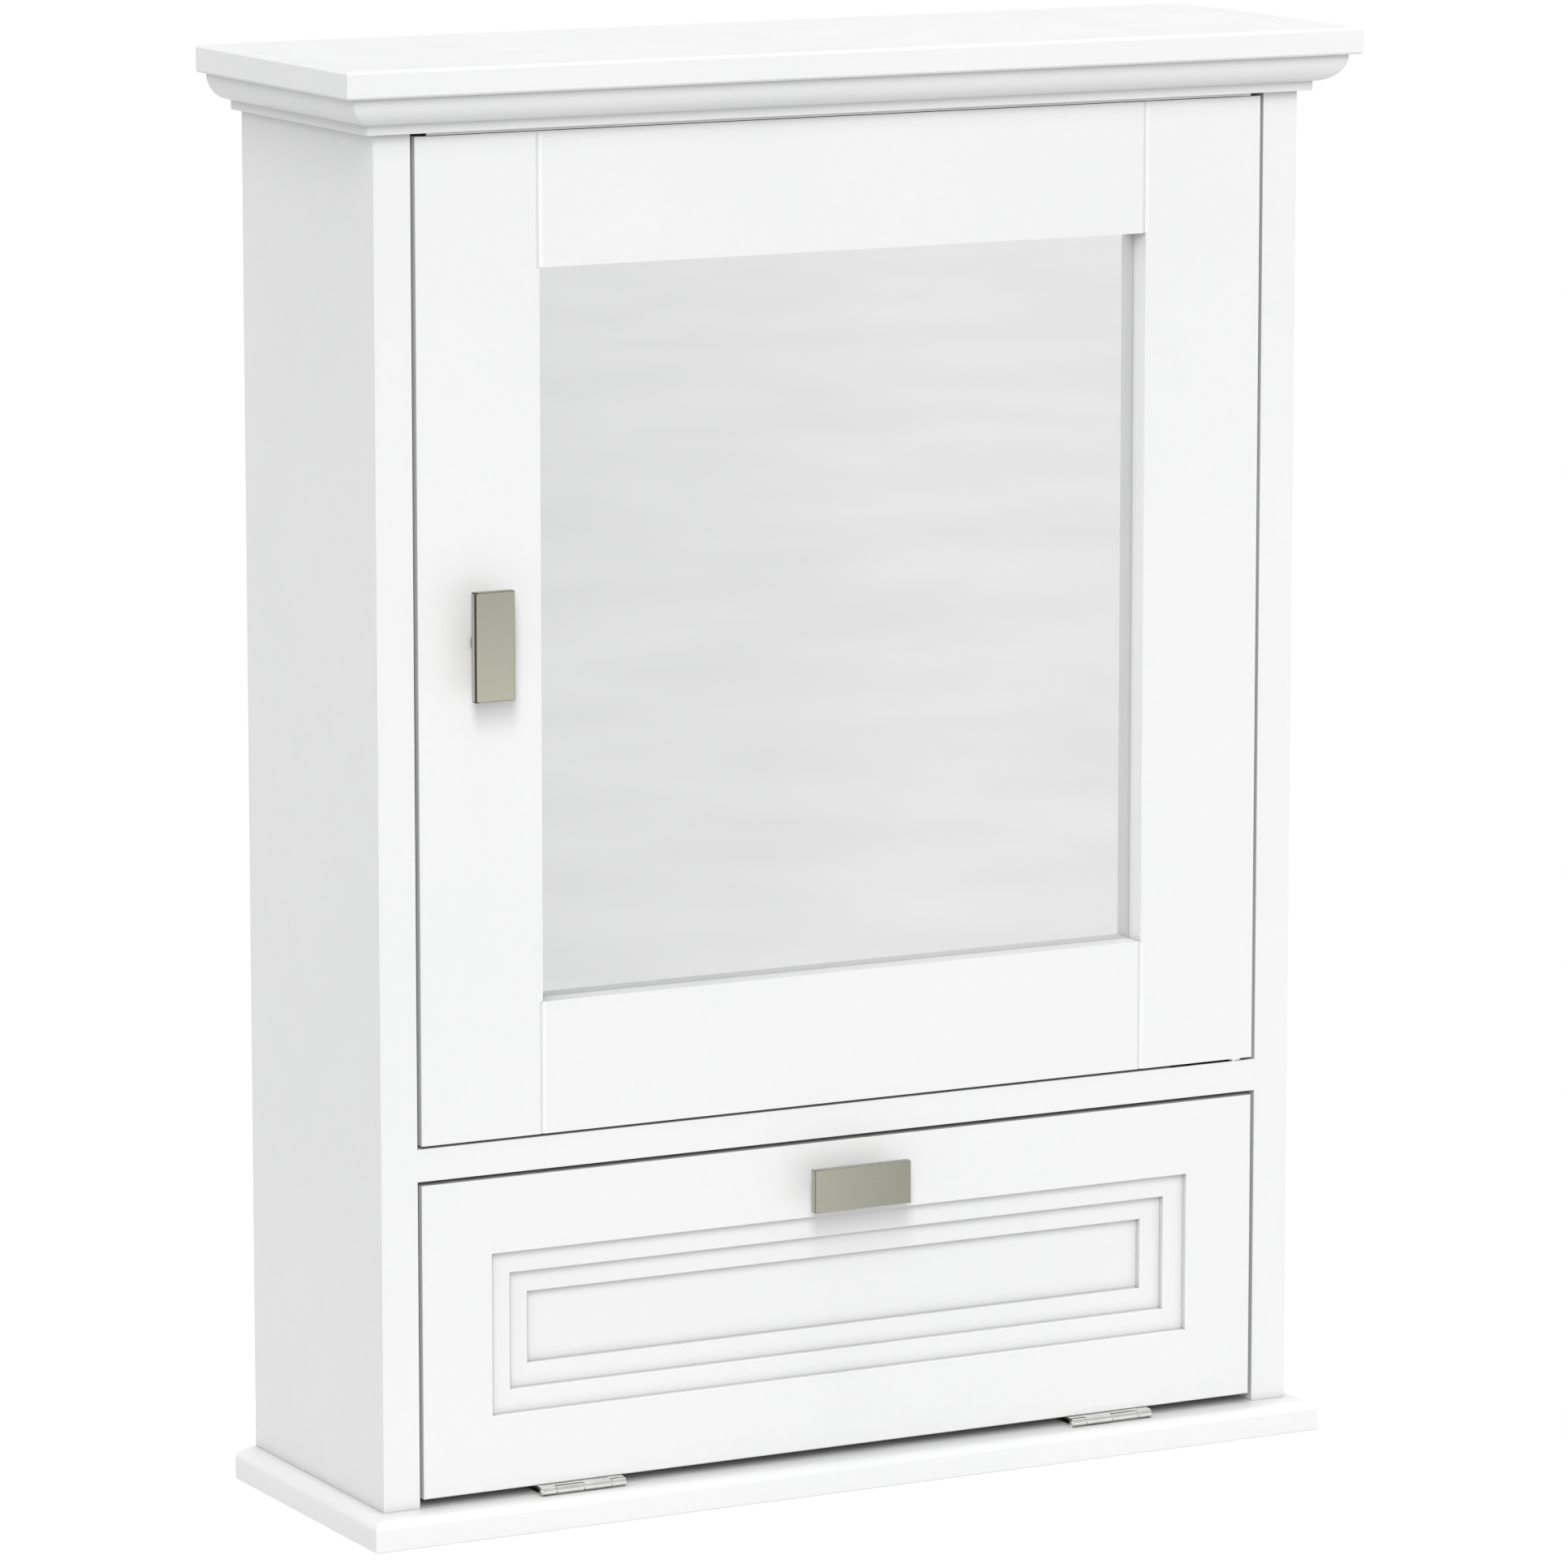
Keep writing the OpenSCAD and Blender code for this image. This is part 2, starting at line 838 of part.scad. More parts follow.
module door_pull_screw() {
    translate([door_pull_x, rear_of_door_y, z_of(door_mid_h)])
        pull_screw();
}

module flap_pull_screw() {
    translate([0, rear_of_door_y, z_of(flap_pull_h)])
        pull_screw();
}

// ---------------------------------------------------------------- door pivots

// The bar of a pivot plate, let into the face at height h; into is 1 upwards and -1 downwards
module pivot_bar(h, into, grow) {
    block(
        [plate_right_x - pivot_plate_l - grow, plate_front_y - grow, z_of(h)],
        [plate_right_x + grow, plate_front_y + pivot_plate_w + grow, z_of(h + into * pivot_plate_t)]);
}

module pivot_recess(h, into) {
    pivot_bar(h, into, fit);
    pivot_bar(h - into * (pivot_plate_t - eps), into, fit);
}

// Each screw of a pivot plate, driven into the face
module at_plate_screws(h, into) {
    for (x = plate_screw_x)
        translate([x, plate_screw_y, z_of(h)])
            rotate([into > 0 ? 180 : 0, 0, 0])
                children();
}

// A pivot plate with its bore and its two screw holes
module pivot_plate(h, into, bore_r) {
    color(nickel)
        difference() {
            pivot_bar(h, into, 0);
            translate([pivot_x, pivot_y, z_of(h) - 5])
                cylinder(r = bore_r, h = 10);
            at_plate_screws(h, into) screw_hole(wood_screw);
        }
}

module top_pivot_plate() {
    pivot_plate(top_under_h, 1, pivot_d / 2 + 0.02);
}

module bottom_pivot_plate() {
    pivot_plate(divider_top_h, -1, pivot_d / 2 + 0.02);
}

module top_pivot_leaf() {
    pivot_plate(door_high_h, -1, pivot_d / 2 + run);
}

module bottom_pivot_leaf() {
    pivot_plate(door_low_h, 1, pivot_d / 2 + run);
}

module pivot_pins() {
    length = pivot_plate_t + door_gap + pin_in_door;
    color(nickel) {
        translate([pivot_x, pivot_y, z_of(top_under_h + pivot_plate_t - length)])
            pivot_pin(length);
        translate([pivot_x, pivot_y, z_of(divider_top_h - pivot_plate_t + length)])
            mirror([0, 0, 1]) pivot_pin(length);
    }
}

// A pin standing on its bevelled end
module pivot_pin(length) {
    r = pivot_d / 2;
    rotate_extrude()
        polygon([[0, 0], [r - 0.6, 0], [r, 0.6], [r, length], [0, length]]);
}

module pivot_washers() {
    color(nickel)
        for (h = [door_low_h - door_gap, door_high_h])
            translate([pivot_x, pivot_y, z_of(h + washer_play)])
                difference() {
                    cylinder(r = washer_r, h = door_gap - 2 * washer_play);
                    translate([0, 0, -1])
                        cylinder(r = pivot_d / 2 + run, h = door_gap + 2);
                }
}

module pivot_plate_screws() {
    color(nickel) {
        at_plate_screws(top_under_h, 1) screw(wood_screw);
        at_plate_screws(divider_top_h, -1) screw(short_screw);
    }
}

module pivot_leaf_screws() {
    color(nickel) {
        at_plate_screws(door_high_h, -1) screw(wood_screw);
        at_plate_screws(door_low_h, 1) screw(wood_screw);
    }
}

// ---------------------------------------------------------------- flap and its hinges

// Corners of the flap's outline at a depth, drawn in by a margin
function flap_corners(y, margin) =
    let (x = front_x - margin, low = z_of(flap_low_h + margin), high = z_of(flap_high_h - margin))
    [[-x, y, low], [x, y, low], [x, y, high], [-x, y, high]];

// Solid through a list of [depth, margin] outlines, from the front to the rear
module flap_solid(outlines) {
    last = len(outlines) - 1;
    polyhedron(
        points = [for (o = outlines) each flap_corners(o[0], o[1])],
        faces = concat(
            [[3, 2, 1, 0], [for (i = [0 : 3]) 4 * last + i]],
            [for (j = [0 : last - 1], i = [0 : 3])
                let (n = (i + 1) % 4)
                [4 * j + i, 4 * j + n, 4 * (j + 1) + n, 4 * (j + 1) + i]]));
}

// One step of the recess, with a chamfered rim
module flap_step(k) {
    y = face_y + k * step_d;
    margin = recess_margin + k * step_w;
    flap_solid([
        [y - flap_arris, margin - 2 * flap_arris], [y + flap_arris, margin],
        [y + step_d, margin],
    ]);
}

module flap_panel() {
    color(lacquer)
        difference() {
            flap_solid([
                [face_y, flap_arris], [face_y + flap_arris, 0],
                [rear_of_door_y - flap_arris, 0], [rear_of_door_y, flap_arris],
            ]);
            for (k = [0 : 2]) flap_step(k);
            translate([0, face_y - 1, z_of(flap_pull_h)])
                rotate([-90, 0, 0])
                    cylinder(r = pull_screw_d / 2 + fit, h = front_t + 2);
            at_flap_leaf_screws() screw_hole(leaf_screw);
            at_flap_strike() at_strike_screws() screw_hole(thin_screw);
        }
}

// Rods along the barrel of the right hinge over every second knuckle, starting at number first
module knuckles(first, r, gap) {
    for (k = [first : 2 : 3])
        translate([hinge_x - hinge_l / 2 + knuckle_ends[k] + gap / 2, axis_y, z_of(axis_h)])
            rotate([0, 90, 0])
                cylinder(r = r, h = knuckle_ends[k + 1] - knuckle_ends[k] - gap);
}

// A leaf of the right hinge with the knuckles that start at number first
module hinge_leaf(h, first, bore_r) {
    color(nickel)
        difference() {
            union() {
                block(
                    [hinge_x - hinge_l / 2, axis_y, z_of(h)],
                    [hinge_x + hinge_l / 2, leaf_back_y, z_of(h + leaf_t)]);
                knuckles(first, barrel_r, knuckle_gap);
            }
            knuckles(1 - first, barrel_r + knuckle_gap, -knuckle_gap);
            translate([hinge_x - hinge_l, axis_y, z_of(axis_h)])
                rotate([0, 90, 0])
                    cylinder(r = bore_r, h = 2 * hinge_l);
            children();
        }
}

module right_base_leaf() {
    hinge_leaf(0, 0, hinge_pin_d / 2 + 0.02)
        at_base_leaf_screws() screw_hole(leaf_screw);
}

module left_base_leaf() {
    mirror([1, 0, 0]) right_base_leaf();
}

module right_flap_leaf() {
    hinge_leaf(flap_gap - leaf_t, 1, hinge_pin_d / 2 + run)
        at_flap_leaf_screws() screw_hole(leaf_screw);
}

module left_flap_leaf() {
    mirror([1, 0, 0]) right_flap_leaf();
}

module flap_hinge_pins() {
    color(nickel)
        both_sides()
            translate([hinge_x - hinge_l / 2, axis_y, z_of(axis_h)])
                rotate([0, 90, 0])
                    cylinder(d = hinge_pin_d, h = hinge_l);
}

module at_base_leaf_screws() {
    for (x = [-hinge_x, hinge_x], side = [-leaf_screw_x, leaf_screw_x])
        translate([x + side, leaf_screw_y, z_of(leaf_t)])
            children();
}

module at_flap_leaf_screws() {
    for (x = [-hinge_x, hinge_x], side = [-leaf_screw_x, leaf_screw_x])
        translate([x + side, leaf_screw_y, z_of(flap_gap - leaf_t)])
            rotate([180, 0, 0])
                children();
}

module base_leaf_screws() {
    color(nickel)
        at_base_leaf_screws() screw(leaf_screw);
}

module flap_leaf_screws() {
    color(nickel)
        at_flap_leaf_screws() screw(leaf_screw);
}

// ---------------------------------------------------------------- magnetic catches

// Frame of a catch: it hangs from z = 0, with its front at y = 0
module at_door_catch() {
    translate([-inner_x, catch_y, z_of(door_catch_h)])
        rotate([0, -90, 0])
            children();
}

module at_flap_catch() {
    translate([0, catch_y, z_of(divider_h)])
        children();
}

module at_catch_screws() {
    for (x = [-catch_screw_x, catch_screw_x])
        translate([x, catch_screw_y, -catch_ear_t])
            rotate([180, 0, 0])
                children();
}

module catch_housing() {
    magnet_mid = -catch_t / 2;
    color(plastic)
        difference() {
            union() {
                block([-catch_l / 2, catch_ear_y, -catch_ear_t], [catch_l / 2, catch_deep, 0]);
                block([-catch_body_l / 2, 0, -catch_t], [catch_body_l / 2, catch_deep, 0]);
            }
            block(
                [-magnet_l / 2, -1, magnet_mid - magnet_t / 2],
                [magnet_l / 2, magnet_deep, magnet_mid + magnet_t / 2]);
            at_catch_screws() screw_hole(short_screw);
        }
}

module catch_magnet() {
    magnet_mid = -catch_t / 2;
    color(magnet_grey)
        block(
            [fit - magnet_l / 2, -pole_out, magnet_mid - magnet_t / 2 + fit],
            [magnet_l / 2 - fit, magnet_deep - fit, magnet_mid + magnet_t / 2 - fit]);
}

// Frame of a strike plate: it lies on the back of the door or the flap, its length along x
module at_door_strike() {
    translate([-front_x + 1 + strike_w / 2, rear_of_door_y, z_of(door_catch_h)])
        rotate([0, -90, 0])
            children();
}

module at_flap_strike() {
    translate([0, rear_of_door_y, z_of(flap_high_h - 1 - strike_w / 2)])
        children();
}

module at_strike_screws() {
    for (x = [-strike_screw_x, strike_screw_x])
        translate([x, strike_t, 0])
            rotate([-90, 0, 0])
                children();
}

module strike_plate() {
    color(nickel)
        difference() {
            block([-strike_l / 2, 0, -strike_w / 2], [strike_l / 2, strike_t, strike_w / 2]);
            at_strike_screws() screw_hole(thin_screw);
        }
}

module door_catch_housing() {
    at_door_catch() catch_housing();
}

module door_catch_magnet() {
    at_door_catch() catch_magnet();
}

module door_catch_screws() {
    color(nickel)
        at_door_catch() at_catch_screws() screw(wood_screw);
}

module door_strike_plate() {
    at_door_strike() strike_plate();
}

module door_strike_screws() {
    color(nickel)
        at_door_strike() at_strike_screws() screw(thin_screw);
}

module flap_catch_housing() {
    at_flap_catch() catch_housing();
}

module flap_catch_magnet() {
    at_flap_catch() catch_magnet();
}

module flap_catch_screws() {
    color(nickel)
        at_flap_catch() at_catch_screws() screw(short_screw);
}

module flap_strike_plate() {
    at_flap_strike() strike_plate();
}

module flap_strike_screws() {
    color(nickel)
        at_flap_strike() at_strike_screws() screw(thin_screw);
}

// ---------------------------------------------------------------- the assembly

left_side_panel();
right_side_panel();
top_panel();
divider_panel();
back_panel();
back_panel_nails();
hanging_rail();
top_board();
top_board_screws();
crown_front();
crown_left();
crown_right();
base_board();
base_screws();
carcass_dowels();
upper_shelf();
lower_shelf();
shelf_pins();
door_left_stile();
door_right_stile();
door_top_rail();
door_bottom_rail();
door_dowels();
mirror_glass();
mirror_backing();
mirror_clips();
mirror_clip_screws();
door_pull();
door_pull_screw();
top_pivot_plate();
bottom_pivot_plate();
top_pivot_leaf();
bottom_pivot_leaf();
pivot_pins();
pivot_washers();
pivot_plate_screws();
pivot_leaf_screws();
door_catch_housing();
door_catch_magnet();
door_catch_screws();
door_strike_plate();
door_strike_screws();
flap_panel();
flap_pull();
flap_pull_screw();
left_base_leaf();
right_base_leaf();
left_flap_leaf();
right_flap_leaf();
flap_hinge_pins();
base_leaf_screws();
flap_leaf_screws();
flap_catch_housing();
flap_catch_magnet();
flap_catch_screws();
flap_strike_plate();
flap_strike_screws();
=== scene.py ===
"""Hanging wall cabinet: camera, studio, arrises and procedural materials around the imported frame."""
import json
import math

import bpy
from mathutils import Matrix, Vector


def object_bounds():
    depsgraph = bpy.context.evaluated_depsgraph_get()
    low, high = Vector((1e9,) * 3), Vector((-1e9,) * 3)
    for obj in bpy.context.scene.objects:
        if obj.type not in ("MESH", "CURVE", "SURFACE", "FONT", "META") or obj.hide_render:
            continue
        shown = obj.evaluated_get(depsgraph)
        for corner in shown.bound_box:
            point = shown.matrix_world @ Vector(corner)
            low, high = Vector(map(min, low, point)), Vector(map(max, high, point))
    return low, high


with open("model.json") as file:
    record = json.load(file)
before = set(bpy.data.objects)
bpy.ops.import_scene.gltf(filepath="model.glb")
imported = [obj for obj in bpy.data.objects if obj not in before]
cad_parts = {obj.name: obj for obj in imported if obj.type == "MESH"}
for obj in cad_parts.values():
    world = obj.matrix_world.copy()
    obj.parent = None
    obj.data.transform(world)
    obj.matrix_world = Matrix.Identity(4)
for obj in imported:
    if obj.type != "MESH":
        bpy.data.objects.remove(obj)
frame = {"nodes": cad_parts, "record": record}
nodes = frame["nodes"]
cad_low, cad_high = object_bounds()

MM = 0.001

# ---------------------------------------------------------------- camera

CAMERA_PLACE = (-1.8215, -3.5457, 0.3856)
CAMERA_YAW = math.radians(27.718)
CAMERA_PITCH = math.radians(9.756)
CAMERA_LENS = 196.05
CAMERA_SENSOR = 36
CAMERA_REACH = (0.1, 100)


def add_camera():
    data = bpy.data.cameras.new("camera")
    data.sensor_width = CAMERA_SENSOR
    data.lens = CAMERA_LENS
    data.clip_start, data.clip_end = CAMERA_REACH
    camera = bpy.data.objects.new("camera", data)
    camera.location = CAMERA_PLACE
    camera.rotation_euler = (math.pi / 2 - CAMERA_PITCH, 0, -CAMERA_YAW)
    bpy.context.scene.collection.objects.link(camera)
    bpy.context.scene.camera = camera


# ---------------------------------------------------------------- material helpers

OPENNESS_SAMPLES = 8


class Nodes:
    """A material's node tree, with short calls for the nodes used here. Places are in metres."""

    def __init__(self, name):
        self.material = bpy.data.materials.new(name)
        self.material.use_nodes = True
        self.tree = self.material.node_tree
        self.shader = self.tree.nodes["Principled BSDF"]
        self.place = self.tree.nodes.new("ShaderNodeTexCoord").outputs["Object"]

    def link(self, source, target):
        self.tree.links.new(source, target)

    def set(self, **values):
        for name, value in values.items():
            self.shader.inputs[name.replace("_", " ")].default_value = value

    def stretched(self, scale):
        """The place, stretched by a scale along each axis."""
        mapping = self.tree.nodes.new("ShaderNodeMapping")
        mapping.inputs["Scale"].default_value = scale
        self.link(self.place, mapping.inputs["Vector"])
        return mapping.outputs["Vector"]

    def noise(self, size, detail=2.0, roughness=0.5, place=None):
        """Noise with features of a size in metres."""
        node = self.tree.nodes.new("ShaderNodeTexNoise")
        node.inputs["Scale"].default_value = 1 / size
        node.inputs["Detail"].default_value = detail
        node.inputs["Roughness"].default_value = roughness
        self.link(place or self.place, node.inputs["Vector"])
        return node.outputs["Fac"]

    def share(self, axis):
        """The place along an axis of the object's own box, from 0 to 1."""
        split = self.tree.nodes.new("ShaderNodeSeparateXYZ")
        self.link(self.place.node.outputs["Generated"], split.inputs["Vector"])
        return split.outputs[axis]

    def openness(self, reach):
        """How open the surface is within a reach in metres.

        It is 1 on a flat face and 0.5 at a right-angled crease.
        """
        node = self.tree.nodes.new("ShaderNodeAmbientOcclusion")
        node.samples = OPENNESS_SAMPLES
        node.inputs["Distance"].default_value = reach
        return node.outputs["AO"]

    def multiply(self, a, b):
        """One colour multiplied by another."""
        node = self.tree.nodes.new("ShaderNodeMix")
        node.data_type = "RGBA"
        node.blend_type = "MULTIPLY"
        node.inputs["Factor"].default_value = 1
        for name, value in (("A", a), ("B", b)):
            self.link(value, next(i for i in node.inputs if i.name == name and i.type == "RGBA"))
        return next(o for o in node.outputs if o.type == "RGBA")

    def ramp(self, source, stops):
        """Colours or greys at stops along a value."""
        node = self.tree.nodes.new("ShaderNodeValToRGB")
        ramp = node.color_ramp
        while len(ramp.elements) < len(stops):
            ramp.elements.new(0.5)
        for element, (position, colour) in zip(ramp.elements, stops):
            element.position = position
            grey = (colour,) * 3 if isinstance(colour, float) else colour
            element.color = (*grey, 1)
        self.link(source, node.inputs["Fac"])
        return node.outputs["Color"]

    def math(self, operation, a, b):
        node = self.tree.nodes.new("ShaderNodeMath")
        node.operation = operation
        for socket, value in zip(node.inputs, (a, b)):
            if isinstance(value, (int, float)):
                socket.default_value = value
            else:
                self.link(value, socket)
        return node.outputs[0]

    def colour(self, source):
        self.link(source, self.shader.inputs["Base Color"])

    def roughness(self, source, low, high):
        self.link(self.ramp(source, ((0.3, low), (0.7, high))), self.shader.inputs["Roughness"])

    def bump(self, height, strength, distance):
        node = self.tree.nodes.new("ShaderNodeBump")
        node.inputs["Strength"].default_value = strength
        node.inputs["Distance"].default_value = distance
        self.link(height, node.inputs["Height"])
        self.link(node.outputs["Normal"], self.shader.inputs["Normal"])


# ---------------------------------------------------------------- materials


def white_lacquer():
    """Satin white lacquer on smooth board.

    It has a faint orange peel and a clouded gloss, and painted shade greys it in creases and in the
    hairline gaps between parts.
    """
    n = Nodes("white_lacquer")
    clouds = n.noise(0.18, 3)
    specks = n.noise(0.004, 2)
    mottle = n.math("ADD", n.math("MULTIPLY", clouds, 0.75), n.math("MULTIPLY", specks, 0.25))
    tone = n.ramp(mottle, ((0.35, (0.561, 0.563, 0.564)), (0.65, (0.578, 0.579, 0.578))))
    # Painted shade: the colour darkens where the surface is closed in, in creases and in narrow gaps
    # between parts
    painted_crease_shade = n.ramp(n.openness(0.005), ((0.5, 0.85), (0.95, 1.0)))
    painted_hairline_shade = n.ramp(n.openness(0.0012), ((0.35, 0.5), (0.7, 1.0)))
    n.colour(n.multiply(n.multiply(tone, painted_crease_shade), painted_hairline_shade))
    n.roughness(n.noise(0.03, 4), 0.34, 0.46)
    n.bump(n.noise(0.0011, 2), 0.05, 0.0002)
    n.set(Coat_Weight=0.12, Coat_Roughness=0.25)
    return n.material


def mirror():
    """Silvered glass, with the faint haze of wiped-off dust in its gloss, and a painted reflection in
    its tint: lighter towards +X, in soft clouds.
    """
    n = Nodes("mirror")
    wipes = n.noise(0.05, 4, 0.6, n.stretched((1.0, 1.0, 0.35)))
    clouds = n.noise(0.22, 1)
    # Painted reflection: the tint brightens towards +X and in soft clouds
    painted_reflection_drift = n.math("ADD", n.math("MULTIPLY", clouds, 0.35), n.math("MULTIPLY", n.share("X"), 0.65))
    n.colour(n.ramp(painted_reflection_drift, ((0.2, (0.697, 0.701, 0.700)), (0.6, (0.757, 0.760, 0.758)))))
    n.roughness(wipes, 0.012, 0.019)
    n.set(Metallic=1.0)
    return n.material


def champagne_metal(name, axis, first, last):
    """Satin champagne nickel, brushed along the plate's long axis, with a painted sheen that shades its
    colour from end to end.
    """
    n = Nodes(name)
    brushed = n.noise(0.0012, 4, 0.6, n.stretched([0.04 if a == axis else 1.0 for a in "XYZ"]))
    mottle = n.math("MULTIPLY", n.math("SUBTRACT", n.noise(0.012, 3), 0.5), 0.25)
    # Painted sheen: the colour runs from the first tone to the last along the long axis, with a faint
    # mottle
    n.colour(n.ramp(n.math("ADD", n.share(axis), mottle), ((0.05, first), (0.95, last))))
    n.roughness(brushed, 0.26, 0.38)
    n.bump(brushed, 0.06, 0.0001)
    n.set(Metallic=1.0)
    return n.material


def door_pull_metal():
    return champagne_metal("champagne_metal_door", "Z", (0.47, 0.472, 0.388), (0.385, 0.385, 0.318))


def flap_pull_metal():
    return champagne_metal("champagne_metal_flap", "X", (0.405, 0.405, 0.332), (0.318, 0.325, 0.264))


def pull_edge():
    """The same plating on the pulls' edges, with a painted dark reflection: darker than the faces, and
    darkest along the left one.
    """
    n = Nodes("champagne_edge")
    edge_noise = n.noise(0.004, 3)
    # Painted reflection: near black along the left edge, then a darker plating tone; the noise wobbles
    # where it ends
    place = n.math("ADD", n.share("X"), n.math("MULTIPLY", edge_noise, 0.03))
    n.colour(n.ramp(place, ((0.05, (0.055, 0.054, 0.046)), (0.14, (0.36, 0.357, 0.30)))))
    n.roughness(edge_noise, 0.2, 0.3)
    n.set(Metallic=1.0)
    return n.material


def bright_nickel():
    """Bright nickel plate with a faintly mottled gloss."""
    n = Nodes("bright_nickel")
    mottle = n.noise(0.006, 3)
    n.colour(n.ramp(mottle, ((0.3, (0.78, 0.775, 0.75)), (0.7, (0.86, 0.855, 0.835)))))
    n.roughness(mottle, 0.2, 0.28)
    n.bump(n.noise(0.0015, 2), 0.03, 0.00005)
    n.set(Metallic=1.0)
    return n.material


def moulded_plastic():
    """White moulded plastic with a fine spark-eroded texture."""
    n = Nodes("moulded_plastic")
    n.colour(n.ramp(n.noise(0.01, 3), ((0.3, (0.74, 0.745, 0.74)), (0.7, (0.79, 0.79, 0.785)))))
    n.roughness(n.noise(0.006, 3), 0.42, 0.55)
    n.bump(n.noise(0.0005, 3), 0.12, 0.0001)
    n.set(Specular_IOR_Level=0.45)
    return n.material


def hardboard():
    """Pressed brown hardboard: matted fibres in two sizes."""
    n = Nodes("hardboard")
    fibres = n.noise(0.0025, 6, 0.7, n.stretched((0.5, 1.0, 1.0)))
    n.colour(n.ramp(fibres, ((0.25, (0.17, 0.095, 0.05)), (0.5, (0.26, 0.155, 0.085)),
                             (0.75, (0.36, 0.235, 0.14)))))
    n.roughness(fibres, 0.55, 0.75)
    n.bump(fibres, 0.25, 0.0002)
    return n.material


def beech():
    """Turned beech: straight grain with short dark flecks."""
    n = Nodes("beech")
    grain = n.noise(0.0016, 4, 0.6, n.stretched((0.08, 1.0, 1.0)))
    n.colour(n.ramp(grain, ((0.3, (0.50, 0.30, 0.15)), (0.7, (0.66, 0.45, 0.26)))))
    n.roughness(grain, 0.5, 0.65)
    n.bump(grain, 0.2, 0.0001)
    return n.material


def sintered_magnet():
    """Dark sintered magnet with a grainy, ground face."""
    n = Nodes("sintered_magnet")
    grit = n.noise(0.0007, 5, 0.7)
    n.colour(n.ramp(grit, ((0.3, (0.05, 0.05, 0.054)), (0.7, (0.12, 0.12, 0.125)))))
    n.roughness(grit, 0.4, 0.6)
    n.bump(grit, 0.2, 0.0001)
    n.set(Metallic=0.6)
    return n.material


PULLS = ("door_pull", "flap_pull")
MATERIALS = {
    "white_lacquered_wood": white_lacquer,
    "mirror_glass": mirror,
    "satin_champagne_metal": door_pull_metal,
    "bright_nickel_steel": bright_nickel,
    "white_plastic": moulded_plastic,
    "backing_board": hardboard,
    "bare_wood": beech,
    "magnet": sintered_magnet,
}


def dress_nodes():
    made = {slot: build() for slot, build in MATERIALS.items()}
    for row in frame["record"]["subparts"]:
        for slot in nodes[row["node"]].material_slots:
            slot.material = made[row["material_slot"]]
    nodes["flap_pull"].material_slots[0].material = flap_pull_metal()
    edge = pull_edge()
    for name in PULLS:
        nodes[name].data.materials.append(edge)


# ---------------------------------------------------------------- arrises

# Width in millimetres of the softened edges of each node
ARRISES = {
    0.5: ("left_side_panel", "right_side_panel", "divider_panel", "top_panel",
          "base_board", "upper_shelf", "lower_shelf", "hanging_rail"),
    0.6: ("door_left_stile", "door_right_stile", "door_top_rail", "door_bottom_rail"),
    0.75: PULLS,
    0.35: ("top_board", "crown_front", "crown_left", "crown_right"),
    0.25: ("left_base_leaf", "right_base_leaf", "left_flap_leaf", "right_flap_leaf",
           "door_strike_plate", "flap_strike_plate", "mirror_clips"),
    0.4: ("door_catch_housing", "flap_catch_housing"),
}
ARRIS_SEGMENTS = 3
ARRIS_ANGLE = math.radians(40)
FLAT_ANGLE = math.radians(0.5)
ROUND_ANGLE = math.radians(22)
WELD_GAP = 0.00001


def rounding():
    """A modifier's node group that shades every edge under ROUND_ANGLE smooth, and the others sharp."""
    group = bpy.data.node_groups.new("rounding", "GeometryNodeTree")
    for way in ("INPUT", "OUTPUT"):
        group.interface.new_socket("Geometry", in_out=way, socket_type="NodeSocketGeometry")
    source = group.nodes.new("NodeGroupInput")
    faces = group.nodes.new("GeometryNodeSetShadeSmooth")
    edges = group.nodes.new("GeometryNodeSetShadeSmooth")
    edges.domain = "EDGE"
    edges.inputs["Shade Smooth"].default_value = False
    angle = group.nodes.new("GeometryNodeInputMeshEdgeAngle")
    steep = group.nodes.new("FunctionNodeCompare")
    steep.operation = "GREATER_THAN"
    steep.inputs["B"].default_value = ROUND_ANGLE
    result = group.nodes.new("NodeGroupOutput")
    for a, b in (
        (source.outputs["Geometry"], faces.inputs["Geometry"]),
        (faces.outputs["Geometry"], edges.inputs["Geometry"]),
        (angle.outputs["Unsigned Angle"], steep.inputs["A"]),
        (steep.outputs["Result"], edges.inputs["Selection"]),
        (edges.outputs["Geometry"], result.inputs["Geometry"]),
    ):
        group.links.new(a, b)
    return group


def soften(node, width, group):
    """Rounds a node's sharp edges by a width in millimetres, and returns the bevel."""
    weld = node.modifiers.new("weld", "WELD")
    weld.merge_threshold = WELD_GAP
    flats = node.modifiers.new("flats", "DECIMATE")
    flats.decimate_type = "DISSOLVE"
    flats.angle_limit = FLAT_ANGLE
    node.modifiers.new("rounding", "NODES").node_group = group
    bevel = node.modifiers.new("arris", "BEVEL")
    bevel.width = width * MM
    bevel.segments = ARRIS_SEGMENTS
    bevel.limit_method = "ANGLE"
    bevel.angle_limit = ARRIS_ANGLE
    bevel.miter_outer = "MITER_ARC"
    bevel.harden_normals = True
    return bevel


def soften_nodes():
    group = rounding()
    for width, names in ARRISES.items():
        for name in names:
            bevel = soften(nodes[name], width, group)
            if name in PULLS:
                bevel.material = 1


# ---------------------------------------------------------------- studio

FLOOR_DROP = 4.0
FLOOR_SIZE = 240
# Brightness of the surroundings at the sine of each elevation
SKY = ((0.0, 1.0), (0.1, 0.7), (0.3, 0.62), (1.0, 0.60))
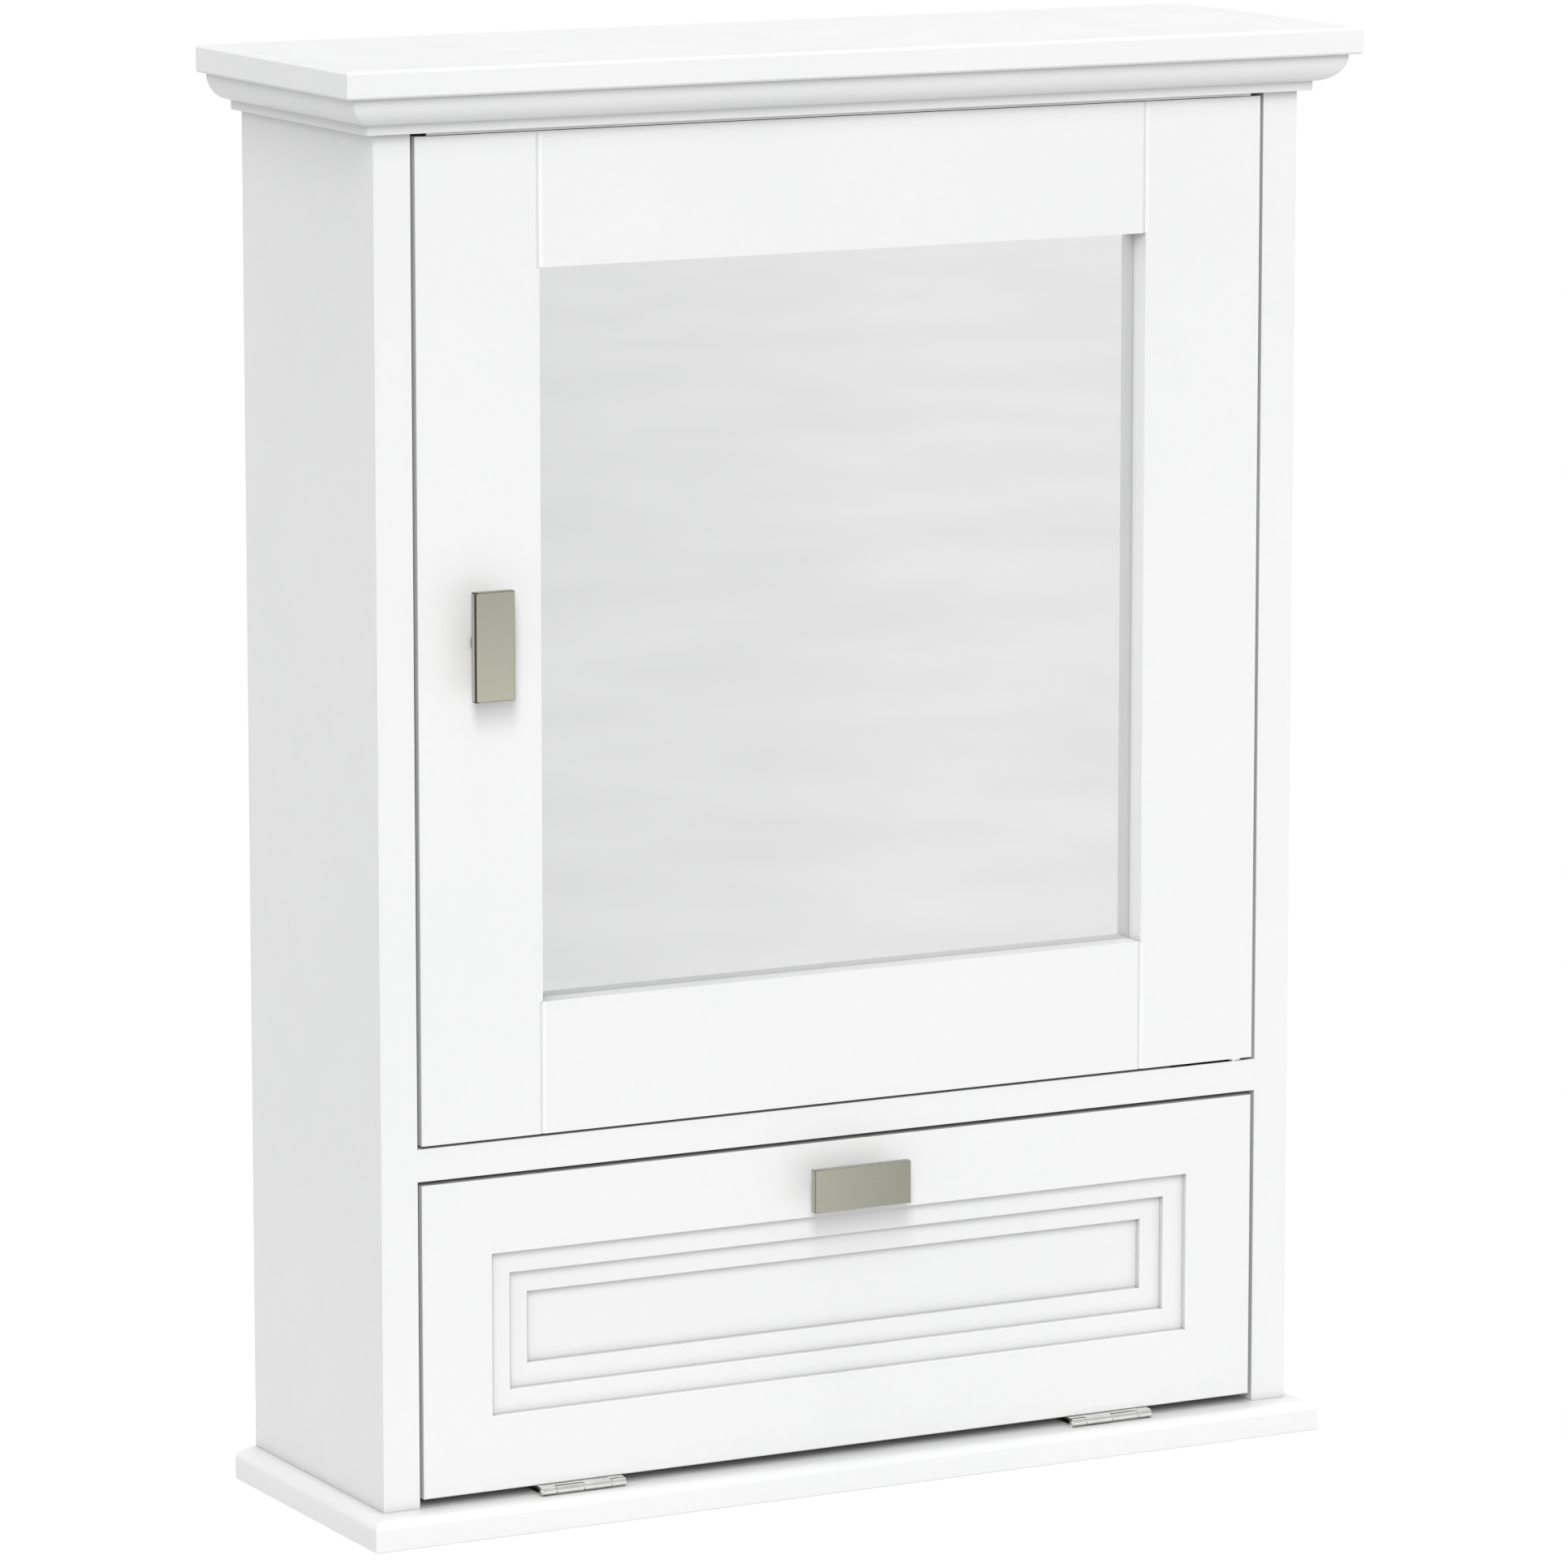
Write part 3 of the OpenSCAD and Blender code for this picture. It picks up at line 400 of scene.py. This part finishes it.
# Azimuth to the right of straight in front, elevation and spread in degrees, and strength
SUNS = {
    "key_14": (-28, 14, 14, 0.68),
    "key_24": (-28, 24, 14, 0.74),
    "key_34": (-28, 34, 14, 0.80),
    "key_44": (-28, 44, 14, 0.82),
    "overhead": (0, 90, 30, 1.8),
    "rear": (120, 30, 30, 0.8),
}


def add_floor():
    """A plain pale floor, far enough under the hanging cabinet to see it from below."""
    bpy.ops.mesh.primitive_plane_add(size=FLOOR_SIZE, location=(0, 0, cad_low.z - FLOOR_DROP))
    floor = bpy.context.object
    floor.name = "floor"
    n = Nodes("floor")
    n.colour(n.ramp(n.noise(0.9, 2), ((0.3, (0.55, 0.55, 0.55)), (0.7, (0.59, 0.59, 0.59)))))
    n.set(Roughness=0.9)
    floor.data.materials.append(n.material)


def add_world():
    """White surroundings, brightest at the horizon, where they meet the floor."""
    world = bpy.data.worlds.new("studio")
    world.use_nodes = True
    tree = world.node_tree
    place = tree.nodes.new("ShaderNodeTexCoord")
    split = tree.nodes.new("ShaderNodeSeparateXYZ")
    ramp = tree.nodes.new("ShaderNodeValToRGB")
    while len(ramp.color_ramp.elements) < len(SKY):
        ramp.color_ramp.elements.new(0.5)
    for element, (position, grey) in zip(ramp.color_ramp.elements, SKY):
        element.position = position
        element.color = (grey, grey, grey, 1)
    tree.links.new(place.outputs["Generated"], split.inputs["Vector"])
    tree.links.new(split.outputs["Z"], ramp.inputs["Fac"])
    tree.links.new(ramp.outputs["Color"], tree.nodes["Background"].inputs["Color"])
    bpy.context.scene.world = world
    bpy.context.scene.view_settings.view_transform = "Standard"


def add_sun(name, azimuth, elevation, spread, strength):
    """A soft distant light."""
    data = bpy.data.lights.new(name, "SUN")
    data.energy = strength
    data.angle = math.radians(spread)
    light = bpy.data.objects.new(name, data)
    light.rotation_euler = (math.radians(90 - elevation), 0, math.radians(azimuth))
    bpy.context.scene.collection.objects.link(light)


# ---------------------------------------------------------------- the scene

add_camera()
dress_nodes()
soften_nodes()
add_world()
add_floor()
for name, values in SUNS.items():
    add_sun(name, *values)
